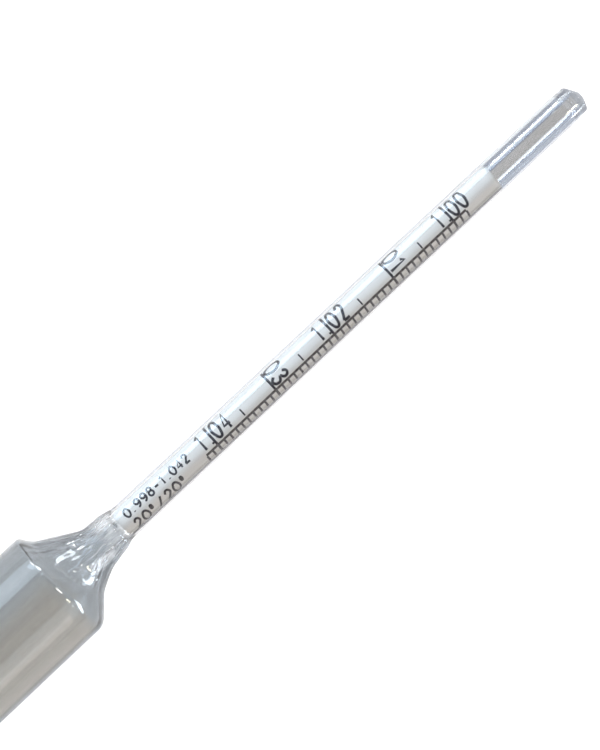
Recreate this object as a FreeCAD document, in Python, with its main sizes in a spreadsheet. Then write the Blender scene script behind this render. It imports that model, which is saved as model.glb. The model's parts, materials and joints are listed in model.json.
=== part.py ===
"""Lactometer: a glass float that reads the density of milk on the paper scale in its stem.

The glass is one blown piece: a thin stem with a sealed tip, a collar that flares into a
shoulder, and a long hollow bulb with a round bottom. Inside it are a rolled paper scale,
steel shot that makes it float upright, and the wax plug that holds the shot down.

Each piece is drawn along its own axis, upwards from the bottom of the bulb, and is then
laid on its side: the tip points along +X, and the bulb's lowest line is at Z = 0.
All lengths are in millimetres, and all angles in degrees.
"""

import FreeCAD, Part
import itertools
import math
import os
import random

import Sketcher

SIZES = [
    ("bulb_diameter", 19.0, "outside of the bulb"),
    ("bulb_length", 108.4, "from the bottom of the bulb to its shoulder"),
    ("bulb_wall", 0.7, "glass of the bulb's side"),
    ("bottom_wall", 1.1, "glass at the bottom of the bulb"),
    ("shoulder_slope", 39.7, "between the shoulder's cone and the axis"),
    ("shoulder_radius", 1.6, "rounding between bulb and shoulder"),
    ("collar_swell", 2.2, "how much wider than the stem the collar is at its foot"),
    ("collar_wall", 0.95, "glass at the foot of the collar"),
    ("collar_length", 8.1, "from the collar's foot to the stem"),
    ("flare_radius", 15.5, "hollow sweep between shoulder and collar"),
    ("collar_radius", 30.0, "hollow sweep between collar and stem"),
    ("stem_diameter", 5.6, "outside of the stem"),
    ("stem_wall", 0.45, "glass of the stem"),
    ("stem_length", 98.6, "from the collar to the end of the tip"),
    ("tip_height", 1.9, "dome that seals the stem"),
    ("tip_wall", 2.0, "glass at the end of the tip"),
    ("tip_radius", 0.5, "melted corner around the tip"),
    ("bore_end_height", 1.5, "dome that ends the stem's bore"),
    ("paper_length", 80.5, "the rolled scale, along the stem"),
    ("paper_reach", 1.6, "how far the scale hangs into the collar"),
    ("paper_thickness", 0.12, "the scale's paper"),
    ("paper_clearance", 0.05, "between the rolled scale and the bore"),
    ("turn_gap", 0.05, "between the scale's overlapping turns"),
    ("paper_overlap", 70.0, "how far the scale's ends overlap"),
    ("shot_diameter", 4.2, "one steel pellet"),
    ("shot_count", 66, "steel pellets in the bulb"),
    ("shot_clearance", 0.04, "between pellets, and between a pellet and the glass"),
    ("wax_cover", 3.2, "wax above the highest pellet"),
    ("wax_soak", 1.0, "how far the wax reaches down among the pellets"),
    ("wax_creep", 0.8, "how far the wax climbs at the glass"),
    ("wax_creep_width", 1.4, "how far from the glass the wax starts to climb"),
    ("wax_clearance", 0.02, "between the wax and the glass or a pellet"),
]

# How far the seam of the round faces is turned from underneath: to the side, clear of the line
# that the bulb lies on, and so that the bulb's facets leave a flat one there.
SEAM_TURN = 84

# How the pellets are packed: the random draws, the tries for each, and how far each roll goes.
PACKING_SEED = 11
DROPS = 14
ROLLS = (0.8, 0.2, 0.05, 0.01)

doc = FreeCAD.newDocument("lactometer")
sheet = doc.addObject("Spreadsheet::Sheet", "sizes")


def note_size(alias, value, meaning):
    """Writes one size into the next free row of the sheet: its name, value and meaning."""
    row = 1 + len(sheet.getUsedCells()) // 3
    sheet.set(f"A{row}", alias)
    sheet.set(f"B{row}", str(value))
    sheet.set(f"C{row}", meaning)
    sheet.setAlias(f"B{row}", alias)
    doc.recompute()


for entry in SIZES:
    note_size(*entry)


def size(alias):
    """The value of one cell of the sheet."""
    return float(sheet.get(alias))


def lay_down(piece, turn=0):
    """Lays a piece that was drawn upright along X, on the bulb's side.

    The side that was drawn towards X comes to lie underneath, or turn degrees away from there.
    """
    upright = FreeCAD.Rotation(FreeCAD.Vector(0, 0, 1), turn)
    piece.Placement.Rotation = FreeCAD.Rotation(FreeCAD.Vector(0, 1, 0), 90) * upright
    piece.setExpression("Placement.Base.x", f"-({TOTAL_LENGTH}) / 2")
    piece.setExpression("Placement.Base.z", BULB_RADIUS)


# Stations along the axis, as expressions on the sheet.
BULB_RADIUS = "sizes.bulb_diameter / 2"
COLLAR_RADIUS = "(sizes.stem_diameter + sizes.collar_swell) / 2"
STEM_RADIUS = "sizes.stem_diameter / 2"
HOLLOW_RADIUS = f"({BULB_RADIUS} - sizes.bulb_wall)"
BORE_RADIUS = f"({STEM_RADIUS} - sizes.stem_wall)"
COLLAR_FOOT = f"sizes.bulb_length + ({BULB_RADIUS} - {COLLAR_RADIUS}) / tan(sizes.shoulder_slope * 1 deg)"
STEM_START = f"{COLLAR_FOOT} + sizes.collar_length"
TOTAL_LENGTH = f"{STEM_START} + sizes.stem_length"

# The sizes that round the outside's rings, from the bulb up.
RING_NAMES = ("shoulder_radius", "flare_radius", "collar_radius", "tip_radius")


def new_body(name):
    """An empty body, labelled with the name of its piece."""
    body = doc.addObject("PartDesign::Body", name)
    body.Label = name
    return body


def attach(sketch, body, role):
    """Lays a sketch on one of its body's own planes."""
    plane = next(o for o in body.Origin.OriginFeatures if o.Role == role)
    sketch.AttachmentSupport = (plane, [""])
    sketch.MapMode = "FlatFace"


class Profile:
    """A closed half section in a body's XZ plane: radius across, height up the axis."""

    def __init__(self, body, name):
        self.sketch = body.newObject("Sketcher::SketchObject", name)
        attach(self.sketch, body, "XZ_Plane")

    def value(self, expression):
        """What an expression on the sheet comes to."""
        return float(self.sketch.evalExpression(expression))

    def bind(self, kind, element, end, expression):
        """Ties one point's distance from the origin to the sheet."""
        name = f"{kind}_{element}_{end}"
        constraint = Sketcher.Constraint(kind, -1, 1, element, end, self.value(expression))
        self.sketch.renameConstraint(self.sketch.addConstraint(constraint), name)
        self.sketch.setExpression(f"Constraints.{name}", expression)

    def line(self, start, end):
        """A straight side between two points of plain numbers."""
        points = [FreeCAD.Vector(r, z, 0) for r, z in (start, end)]
        return self.sketch.addGeometry(Part.LineSegment(*points))

    def dome(self, centre_height, radius, first, last):
        """A round end, centred on the axis, that runs from one angle to another."""
        circle = Part.Circle(FreeCAD.Vector(0, centre_height, 0), FreeCAD.Vector(0, 0, 1), radius)
        arc = self.sketch.addGeometry(Part.ArcOfCircle(circle, first, last))
        self.sketch.addConstraint(Sketcher.Constraint("PointOnObject", arc, 3, -2))
        return arc


def dome_radius(half_width, height):
    """The radius of a shallow dome of that half width and height."""
    return (half_width**2 + height**2) / (2 * height)


def vessel_profile(body, name, radii, heights):
    """The half section of a bottle-like shape: round bottom, bulb, shoulder, collar, stem and dome.

    radii names the bulb, collar and stem radius. heights names the bottom, the shoulder, the
    foot of the flare, the start of the stem, the dome's rim and its top.
    """
    half = Profile(body, name)
    bulb, collar, stem = (half.value(r) for r in radii)
    bottom, shoulder, foot, start, rim, top = (half.value(h) for h in heights)
    top_radius = dome_radius(stem, top - rim)
    rim_angle = math.asin((rim - (top - top_radius)) / top_radius)

    floor = half.dome(bottom + bulb, bulb, -math.pi / 2, 0)
    corners = [(bulb, bottom + bulb), (bulb, shoulder), (collar, foot), (stem, start), (stem, rim)]
    sides = [half.line(a, b) for a, b in zip(corners, corners[1:])]
    roof = half.dome(top - top_radius, top_radius, rim_angle, math.pi / 2)
    axis = half.line((0, top), (0, bottom))

    join = half.sketch.addConstraint
    join(Sketcher.Constraint("Tangent", floor, 2, sides[0], 1))
    for lower, upper in zip(sides, sides[1:]):
        join(Sketcher.Constraint("Coincident", lower, 2, upper, 1))
    join(Sketcher.Constraint("Coincident", sides[-1], 2, roof, 1))
    join(Sketcher.Constraint("Coincident", roof, 2, axis, 1))
    join(Sketcher.Constraint("Coincident", axis, 2, floor, 1))
    join(Sketcher.Constraint("PointOnObject", axis, 1, -2))
    join(Sketcher.Constraint("Vertical", sides[0]))
    join(Sketcher.Constraint("Vertical", sides[3]))

    half.bind("DistanceX", sides[0], 2, radii[0])
    half.bind("DistanceX", sides[1], 2, radii[1])
    half.bind("DistanceX", sides[2], 2, radii[2])
    half.bind("DistanceY", sides[0], 2, heights[1])
    half.bind("DistanceY", sides[1], 2, heights[2])
    half.bind("DistanceY", sides[2], 2, heights[3])
    half.bind("DistanceY", sides[3], 2, heights[4])
    half.bind("DistanceY", axis, 1, heights[5])
    if bottom > 0:
        join(Sketcher.Constraint("PointOnObject", axis, 2, -2))
        half.bind("DistanceY", axis, 2, heights[0])
    else:
        join(Sketcher.Constraint("Coincident", axis, 2, -1, 1))
    return half.sketch


def ring_edge(shape, radius, height):
    """The name of the circular edge of that radius and height around the axis."""
    for number, edge in enumerate(shape.Edges, start=1):
        if edge.Degenerated or not isinstance(edge.Curve, Part.Circle):
            continue
        misses = (abs(edge.Curve.Radius - radius), abs(edge.Curve.Center.z - height))
        if max(misses) < 1e-3:
            return f"Edge{number}"
    raise ValueError(f"no edge of radius {radius} at height {height}")


def round_ring(body, name, base, sketch, ring, radius_alias):
    """Rounds one ring edge, named by its radius and height, of the body's last feature."""
    radius, height = (float(sketch.evalExpression(expression)) for expression in ring)
    rounding = body.newObject("PartDesign::Fillet", name)
    rounding.Base = (base, [ring_edge(base.Shape, radius, height)])
    rounding.setExpression("Radius", f"sizes.{radius_alias}")
    doc.recompute()
    return rounding


def revolve(body, kind, sketch):
    """Turns a half section round the axis, to add or to take away."""
    turned = body.newObject(kind, sketch.Name + "_turned")
    turned.Profile = sketch
    turned.ReferenceAxis = (sketch, ["V_Axis"])
    turned.Angle = 360.0
    sketch.Visibility = False
    doc.recompute()
    return turned


def make_glass():
    """The blown glass, one piece: an outside and a sealed hollow."""
    body = new_body("glass_body")
    radii = (BULB_RADIUS, COLLAR_RADIUS, STEM_RADIUS)
    dome_rim = f"{TOTAL_LENGTH} - sizes.tip_height"
    heights = ("0", "sizes.bulb_length", COLLAR_FOOT, STEM_START, dome_rim, TOTAL_LENGTH)
    outside = vessel_profile(body, "outside", radii, heights)
    solid = revolve(body, "PartDesign::Revolution", outside)
    for name, radius, height in zip(RING_NAMES, [*radii, STEM_RADIUS], heights[1:5]):
        solid = round_ring(body, f"outside_{name}", solid, outside, (radius, height), name)

    collar_hollow = f"({COLLAR_RADIUS} - sizes.collar_wall)"
    radii = (HOLLOW_RADIUS, collar_hollow, BORE_RADIUS)
    shoulder = "sizes.bulb_length - sizes.bulb_wall * tan(sizes.shoulder_slope * 0.5 deg)"
    foot = f"{shoulder} + ({HOLLOW_RADIUS} - {collar_hollow}) / tan(sizes.shoulder_slope * 1 deg)"
    bore_end = f"{TOTAL_LENGTH} - sizes.tip_wall"
    bore_rim = f"{bore_end} - sizes.bore_end_height"
    heights = ("sizes.bottom_wall", shoulder, foot, STEM_START, bore_rim, bore_end)
    hollow = vessel_profile(body, "hollow", radii, heights)
    full_volume = solid.Shape.Volume
    solid = revolve(body, "PartDesign::Groove", hollow)
    if not 0.5 < 1 - solid.Shape.Volume / full_volume < 0.95:
        raise ValueError("the hollow was not cut out of the glass")
    for name, radius, height in zip(RING_NAMES[:2], radii, heights[1:3]):
        solid = round_ring(body, f"hollow_{name}", solid, hollow, (radius, height), name)
    body.Tip = solid
    lay_down(body, SEAM_TURN)
    return body


def make_paper():
    """The scale: a strip of paper rolled into a tube, its ends overlapping on the underside.

    Each face of the roll is a spiral of three arcs. The middle one, half a turn, is centred a
    little to the side, so that a full turn ends one thickness and one gap further in.
    """
    body = new_body("scale_paper")
    roll = body.newObject("Sketcher::SketchObject", "roll")
    attach(roll, body, "XY_Plane")
    roll.setExpression("AttachmentOffset.Base.z", f"{STEM_START} - sizes.paper_reach")
    step = "(sizes.paper_thickness + sizes.turn_gap)"
    outer = f"({BORE_RADIUS} - sizes.paper_clearance)"
    faces = [outer, f"({outer} - sizes.paper_thickness)"]
    overlap = math.radians(size("paper_overlap"))
    join = roll.addConstraint

    def value(expression):
        return float(roll.evalExpression(expression))

    def bind(name, expression, *constraint):
        roll.renameConstraint(join(Sketcher.Constraint(*constraint)), name)
        roll.setExpression(f"Constraints.{name}", expression)

    spirals = []
    for name, face in zip(("outer", "inner"), faces):
        half_step = value(step) / 2
        spans = [(0, 0, math.pi), (-half_step, math.pi, 2 * math.pi), (0, 0, overlap)]
        spiral = []
        for turn, (offset, first, last) in enumerate(spans):
            centre = FreeCAD.Vector(offset, 0, 0)
            circle = Part.Circle(centre, FreeCAD.Vector(0, 0, 1), value(face) - turn * half_step)
            spiral.append(roll.addGeometry(Part.ArcOfCircle(circle, first, last)))
        first, middle, last = spiral
        join(Sketcher.Constraint("Coincident", first, 3, -1, 1))
        join(Sketcher.Constraint("Coincident", last, 3, -1, 1))
        join(Sketcher.Constraint("PointOnObject", middle, 3, -1))
        join(Sketcher.Constraint("Tangent", first, 2, middle, 1))
        join(Sketcher.Constraint("Tangent", middle, 2, last, 1))
        join(Sketcher.Constraint("PointOnObject", first, 1, -1))
        bind(f"{name}_first", face, "Radius", first, value(face))
        bind(f"{name}_last", f"{face} - {step}", "Radius", last, value(f"{face} - {step}"))
        spirals.append(spiral)
    outer_spiral, inner_spiral = spirals
    ends = []
    for arc, point in ((0, 1), (2, 2)):
        points = [roll.getPoint(spiral[arc], point) for spiral in (inner_spiral, outer_spiral)]
        end = roll.addGeometry(Part.LineSegment(*points))
        join(Sketcher.Constraint("Coincident", end, 1, inner_spiral[arc], point))
        join(Sketcher.Constraint("Coincident", end, 2, outer_spiral[arc], point))
        ends.append(end)
    join(Sketcher.Constraint("PointOnObject", -1, 1, ends[1]))
    bind("overlap", "sizes.paper_overlap * 1 deg", "Angle", ends[1], overlap)

    strip = body.newObject("PartDesign::Pad", "strip")
    strip.Profile = roll
    strip.setExpression("Length", "sizes.paper_length")
    roll.Visibility = False
    doc.recompute()
    body.Tip = strip
    lay_down(body)
    return body


def settle(reach, floor_centre, spacing, count):
    """Where the pellets' centres come to rest when they are dropped in one after another.

    Each pellet is tried at several places, rolls downhill from each, and stays at the lowest
    place it found. reach is how far a centre can be from the axis, and spacing how close two
    centres can be.
    """
    chance = random.Random(PACKING_SEED)
    spots = []

    def height(x, y):
        """How low a centre can sit there: on the round floor, or on a pellet below."""
        out = x * x + y * y
        if out > reach * reach:
            return math.inf
        lowest = floor_centre - math.sqrt(reach * reach - out)
        for other_x, other_y, other_z in spots:
            left = spacing * spacing - (x - other_x) ** 2 - (y - other_y) ** 2
            if left > 0:
                lowest = max(lowest, other_z + math.sqrt(left))
        return lowest

    compass = [math.radians(turn) for turn in range(0, 360, 30)]
    for _ in range(count):
        best = None
        for _ in range(DROPS):
            out, turn = reach * math.sqrt(chance.random()), chance.uniform(0, 2 * math.pi)
            x, y = out * math.cos(turn), out * math.sin(turn)
            z = height(x, y)
            for stride in ROLLS:
                rolled = True
                while rolled:
                    moves = [(x + stride * math.cos(a), y + stride * math.sin(a)) for a in compass]
                    lowest, next_x, next_y = min((height(*move), *move) for move in moves)
                    rolled = lowest < z - 1e-6
                    if rolled:
                        x, y, z = next_x, next_y, lowest
            if best is None or z < best[2]:
                best = (x, y, z)
        spots.append(best)
    return spots


def heavy_side_down(spots):
    """The same pellets, turned about the axis until their heavier side is underneath at rest."""
    heavy = math.atan2(sum(y for _, y, _ in spots), sum(x for x, _, _ in spots))
    across, along = math.cos(heavy), math.sin(heavy)
    return [(x * across + y * along, y * across - x * along, z) for x, y, z in spots]


def round_solid(radius):
    """A ball of flat facets: an icosahedron, each side split in four and pushed out."""
    golden = (1 + math.sqrt(5)) / 2
    corners = []
    for a, b in ((a, b) for a in (-1, 1) for b in (-golden, golden)):
        corners += [(0, a, b), (a, b, 0), (b, 0, a)]
    side = 2.0

    def even_sided(trio):
        return all(math.isclose(math.dist(p, q), side) for p, q in itertools.combinations(trio, 2))

    triangles = [trio for trio in itertools.combinations(corners, 3) if even_sided(trio)]

    def pushed_out(*points):
        """The middle of some points, moved out to the ball's surface."""
        middle = FreeCAD.Vector()
        for point in points:
            middle += FreeCAD.Vector(*point)
        return middle.normalize() * radius

    faces = []
    for a, b, c in triangles:
        ab, bc, ca = pushed_out(a, b), pushed_out(b, c), pushed_out(c, a)
        a, b, c = pushed_out(a), pushed_out(b), pushed_out(c)
        for trio in ((a, ab, ca), (ab, b, bc), (ca, bc, c), (ab, bc, ca)):
            faces.append(Part.Face(Part.makePolygon([*trio, trio[0]])))
    ball = Part.Solid(Part.Shell(faces))
    if ball.Volume < 0:
        ball.reverse()
    return ball


def make_shot(spots):
    """The steel shot at the bottom of the bulb: loose pellets of one size."""
    pellet = round_solid(size("shot_diameter") / 2)
    shot = doc.addObject("Part::Feature", "ballast_shot")
    shot.Label = "ballast_shot"
    shot.Shape = Part.Compound([pellet.translated(FreeCAD.Vector(*spot)) for spot in spots])
    lay_down(shot)
    return shot


def make_wax(spots):
    """The wax poured over the shot: it climbs a little at the glass, and fits round the high pellets."""
    blank = doc.addObject("PartDesign::Body", "wax_blank")
    half = Profile(blank, "wax_section")
    radius = f"({HOLLOW_RADIUS} - sizes.wax_clearance)"
    flat = f"({radius} - sizes.wax_creep_width)"
    bottom = "sizes.shot_top - sizes.wax_soak"
    top = "sizes.shot_top + sizes.wax_cover"
    rim = f"{top} + sizes.wax_creep"
    edge, start, low, middle, high = (half.value(e) for e in (radius, flat, bottom, top, rim))
    sweep = dome_radius(edge - start, high - middle)
    climb = math.asin((edge - start) / sweep)
    circle = Part.Circle(FreeCAD.Vector(start, middle + sweep, 0), FreeCAD.Vector(0, 0, 1), sweep)
    under = half.line((0, low), (edge, low))
    side = half.line((edge, low), (edge, high))
    creep = half.sketch.addGeometry(Part.ArcOfCircle(circle, -math.pi / 2, climb - math.pi / 2))
    cover = half.line((start, middle), (0, middle))
    axis = half.line((0, middle), (0, low))
    join = half.sketch.addConstraint
    join(Sketcher.Constraint("Coincident", under, 2, side, 1))
    join(Sketcher.Constraint("Coincident", side, 2, creep, 2))
    join(Sketcher.Constraint("Tangent", creep, 1, cover, 1))
    join(Sketcher.Constraint("Coincident", cover, 2, axis, 1))
    join(Sketcher.Constraint("Coincident", axis, 2, under, 1))
    join(Sketcher.Constraint("PointOnObject", axis, 1, -2))
    join(Sketcher.Constraint("PointOnObject", axis, 2, -2))
    join(Sketcher.Constraint("Horizontal", under))
    join(Sketcher.Constraint("Horizontal", cover))
    join(Sketcher.Constraint("Vertical", side))
    half.bind("DistanceX", under, 2, radius)
    half.bind("DistanceX", cover, 1, flat)
    half.bind("DistanceY", axis, 2, bottom)
    half.bind("DistanceY", axis, 1, top)
    half.bind("DistanceY", side, 2, rim)
    blank.Tip = revolve(blank, "PartDesign::Revolution", half.sketch)

    room_radius = size("shot_diameter") / 2 + size("wax_clearance")
    room = round_solid(room_radius)
    high_spots = [spot for spot in spots if spot[2] + room_radius > low]
    pockets = doc.addObject("Part::Feature", "pellet_pockets")
    pockets.Shape = Part.Compound([room.translated(FreeCAD.Vector(*spot)) for spot in high_spots])
    wax = doc.addObject("Part::Cut", "wax_plug")
    wax.Label = "wax_plug"
    wax.Base = blank
    wax.Tool = pockets
    lay_down(wax)
    return wax


def checked_shape(piece, solids):
    """The shape of a finished piece, once it is sound and made of that many solids."""
    shape = piece.Shape
    if shape.isNull() or not shape.isValid() or len(shape.Solids) != solids:
        raise ValueError(f"{piece.Label} has no sound shape")
    return shape


def main():
    glass = make_glass()
    paper = make_paper()
    reach = size("bulb_diameter") / 2 - size("bulb_wall") - size("shot_diameter") / 2 - size("shot_clearance")
    floor_centre = size("bottom_wall") + size("bulb_diameter") / 2 - size("bulb_wall")
    spacing = size("shot_diameter") + size("shot_clearance")
    spots = heavy_side_down(settle(reach, floor_centre, spacing, int(size("shot_count"))))
    note_size("shot_top", max(z for _, _, z in spots) + size("shot_diameter") / 2, "top of the highest pellet")
    shot = make_shot(spots)
    wax = make_wax(spots)
    doc.recompute()

    for item in doc.Objects:
        if {"Invalid", "Error"} & set(item.State):
            raise ValueError(f"{item.Name} could not be built")
    counts = {glass: 1, paper: 1, shot: len(spots), wax: 1}
    shapes = {piece.Label: checked_shape(piece, count) for piece, count in counts.items()}
    os.makedirs("parts", exist_ok=True)
    for name, shape in shapes.items():
        shape.exportStep(f"parts/{name}.step")
        print(name, round(shape.Volume, 1), "mm3")


main()
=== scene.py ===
"""A blown glass lactometer: weighted bulb, sealed stem, rolled paper scale with plain numbers."""

import json
import math

import bmesh
import bpy
from bpy.props import FloatProperty, FloatVectorProperty, IntProperty, PointerProperty
from mathutils import Matrix, Vector, noise


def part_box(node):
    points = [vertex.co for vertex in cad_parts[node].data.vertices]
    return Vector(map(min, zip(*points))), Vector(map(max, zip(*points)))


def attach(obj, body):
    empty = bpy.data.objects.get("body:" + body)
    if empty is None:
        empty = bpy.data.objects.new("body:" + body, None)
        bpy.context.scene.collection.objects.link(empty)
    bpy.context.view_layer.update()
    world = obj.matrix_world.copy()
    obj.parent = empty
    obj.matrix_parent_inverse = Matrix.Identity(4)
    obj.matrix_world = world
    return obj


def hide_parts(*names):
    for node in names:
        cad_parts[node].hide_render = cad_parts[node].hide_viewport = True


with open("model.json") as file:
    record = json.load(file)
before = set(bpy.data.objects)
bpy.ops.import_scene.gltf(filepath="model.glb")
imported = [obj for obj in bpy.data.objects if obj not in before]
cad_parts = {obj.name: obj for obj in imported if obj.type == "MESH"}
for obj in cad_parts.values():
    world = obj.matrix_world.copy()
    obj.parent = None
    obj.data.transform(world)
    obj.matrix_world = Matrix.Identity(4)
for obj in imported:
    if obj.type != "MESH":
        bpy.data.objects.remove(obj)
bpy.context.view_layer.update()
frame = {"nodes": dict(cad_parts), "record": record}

bl_info = {
    "name": "Glass Lactometer",
    "version": (1, 0, 0),
    "blender": (4, 5, 0),
    "location": "View3D > Sidebar > Lactometer",
    "description": "Builds a milk hydrometer of blown glass around its measured solids",
    "category": "Object",
}

MM = 0.001
GLASS_LOW, GLASS_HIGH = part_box("glass_body")
PAPER_LOW, PAPER_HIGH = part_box("scale_paper")
MOUNTS = {mount["name"]: mount for mount in frame["record"]["mounts"]}
AXIS = Vector((0, 0, MOUNTS["stem"]["pos_m"][2]))
PRINT_RADIUS = PAPER_HIGH.z - AXIS.z
WATER_DENSITY = 1000.0
BODY = "root"


def mount_radius(name):
    """The radius of a round mount of the record, in metres."""
    return MOUNTS[name]["dims"]["r_mm"] * MM


def length(label, default, description):
    """A size property, in metres."""
    return FloatProperty(
        name=label, default=default, description=description, unit="LENGTH", precision=6, min=0.0
    )


def colour(label, default, description):
    """A colour property, as linear red, green and blue."""
    return FloatVectorProperty(
        name=label, default=default, description=description, subtype="COLOR", size=3, min=0.0, max=1.0
    )


class LactometerSizes(bpy.types.PropertyGroup):
    """Sizes of the glass, the paper and the print."""

    steps: IntProperty(name="Round steps", default=192, min=16, description="Steps round the glass")
    bulb_length: length("Bulb length", 108.4 * MM, "From the round bottom to the shoulder's corner")
    bulb_radius: length("Bulb radius", mount_radius("bulb"), "Outside radius of the bulb")
    stem_radius: length("Stem radius", mount_radius("stem"), "Outside radius of the stem")
    bulb_wall: length("Bulb wall", 0.7 * MM, "Wall of the bulb")
    bottom_wall: length("Bottom wall", 1.1 * MM, "Glass at the round bottom")
    collar_wall: length("Collar wall", 0.95 * MM, "Wall of the collar below the stem")
    stem_wall: length("Stem wall", 0.45 * MM, "Wall of the stem")
    tip_wall: length("Tip wall", 2.0 * MM, "Solid glass at the sealed tip")
    unevenness: length("Unevenness", 0.28 * MM, "How far the worked glass wanders outside")
    folds: length("Folds", 0.35 * MM, "How far the worked glass folds inside")
    paper_thickness: length("Paper thickness", 0.12 * MM, "Thickness of the paper strip")
    paper_overlap: IntProperty(
        name="Paper overlap", default=70, min=0, max=180, description="Overlap of its ends, in degrees"
    )
    turn_gap: length("Turn gap", 0.05 * MM, "Gap between the turns where the strip overlaps")
    ink_lift: length("Ink lift", 0.004 * MM, "Gap between the paper and the ink")
    ink_thickness: length("Ink thickness", 0.012 * MM, "Thickness of the ink")
    spine_width: length("Spine width", 0.40 * MM, "Width of the scale's long line")
    tick_width: length("Tick width", 0.36 * MM, "Width of a division line")
    major_width: length("Major width", 0.42 * MM, "Width of a numbered line")
    digit_height: length("Digit height", 3.3 * MM, "Height of the scale's digits")
    digit_width: length("Digit width", 1.1 * MM, "Width of a digit between its stroke centres")
    digit_stroke: length("Digit stroke", 0.44 * MM, "Width of the pen in the digits")
    note_height: length("Note height", 1.4 * MM, "Height of the digits of the range and temperature")
    note_stroke: length("Note stroke", 0.32 * MM, "Width of the pen in those digits")
    unit_line: length("Unit line", 84.027 * MM, "From the shoulder to the line for a density of one")


class LactometerColours(bpy.types.PropertyGroup):
    """Colours of the finishes."""

    # Painted shade, partly the glass's own faint tint: the greys of the bulb, neck and tube stand in for
    # dim surroundings seen through them.
    glass_bulb: colour("Bulb glass", (0.36, 0.34, 0.31), "Bulb, where nothing white lies behind it")
    glass_neck: colour("Neck glass", (0.30, 0.33, 0.355), "Shoulder and neck")
    glass_tube: colour("Tube glass", (0.40, 0.395, 0.39), "Middle of the bare tube at the tip")
    # Painted light and shade: pale bands at the bare tube's sides, and grey at the window's grazing rim.
    painted_side_tint: colour("Tube sides", (0.70, 0.74, 0.78), "Sides of the bare tube at the tip")
    # Painted shade: thin dark lines along the bare tube's wall and at the window's far rim.
    painted_shade_lines: colour("Wall lines", (0.21, 0.24, 0.31), "Thin dark lines along the bare tube's wall")
    # Painted shade: the darkest lines, at the bulb's near rim, round the paper and at its foot.
    painted_edge_shade: colour("Dark edge", (0.07, 0.07, 0.075), "Near rim, and the gap round the paper")
    glass_clear: colour("Clear glass", (0.985, 0.99, 0.995), "Glass over the paper")
    glass_smoke: colour("Smoky glass", (0.62, 0.64, 0.67), "Thick or steep glass, looked through")
    glass_shade: colour("Glass shade", (0.95, 0.96, 0.96), "Light that falls through the glass")
    paper: colour("Paper", (0.86, 0.87, 0.88), "Scale paper")
    # Used both for the paper's real age and for its painted warm shade on the near side.
    paper_aged_and_shade: colour("Aged paper", (0.78, 0.73, 0.68), "Faint yellowing of the paper")
    ink: colour("Ink", (0.005, 0.006, 0.020), "Printing ink")
    # Used both for thin print and for the ink's painted brown shade on the near side.
    ink_thin_and_shade: colour("Thin ink", (0.040, 0.027, 0.024), "Ink where the print is thin or browned")
    steel: colour("Steel", (0.42, 0.42, 0.43), "Shot")
    steel_dull: colour("Dull steel", (0.23, 0.22, 0.21), "Shot where it has dulled")
    wax: colour("Wax", (0.62, 0.46, 0.26), "Sealing wax")
    wax_pale: colour("Pale wax", (0.72, 0.60, 0.42), "Bloom on the wax")
    floor: colour("Floor", (0.93, 0.905, 0.885), "Studio floor")
    room: colour("Room", (0.41, 0.37, 0.345), "Light from all round")
    zenith: colour("Zenith", (0.3, 0.32, 0.34), "What the glass mirrors from straight above")


def sizes():
    return bpy.context.scene.lactometer_sizes


def colours():
    return bpy.context.scene.lactometer_colours


class Signal:
    """A socket that can be used in plain arithmetic, each step of which adds a Math node."""

    def __init__(self, finish, socket):
        self.finish = finish
        self.socket = socket

    def math(self, operation, first, second):
        return self.finish.add("Math", {"operation": operation}, {0: first, 1: second})

    def __add__(self, other):
        return self.math("ADD", self, other)

    def __radd__(self, other):
        return self.math("ADD", other, self)

    def __sub__(self, other):
        return self.math("SUBTRACT", self, other)

    def __rsub__(self, other):
        return self.math("SUBTRACT", other, self)

    def __mul__(self, other):
        return self.math("MULTIPLY", self, other)

    def __or__(self, other):
        return self.math("MAXIMUM", self, other)

    def __abs__(self):
        return self.math("ABSOLUTE", self, 0.0)


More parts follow.
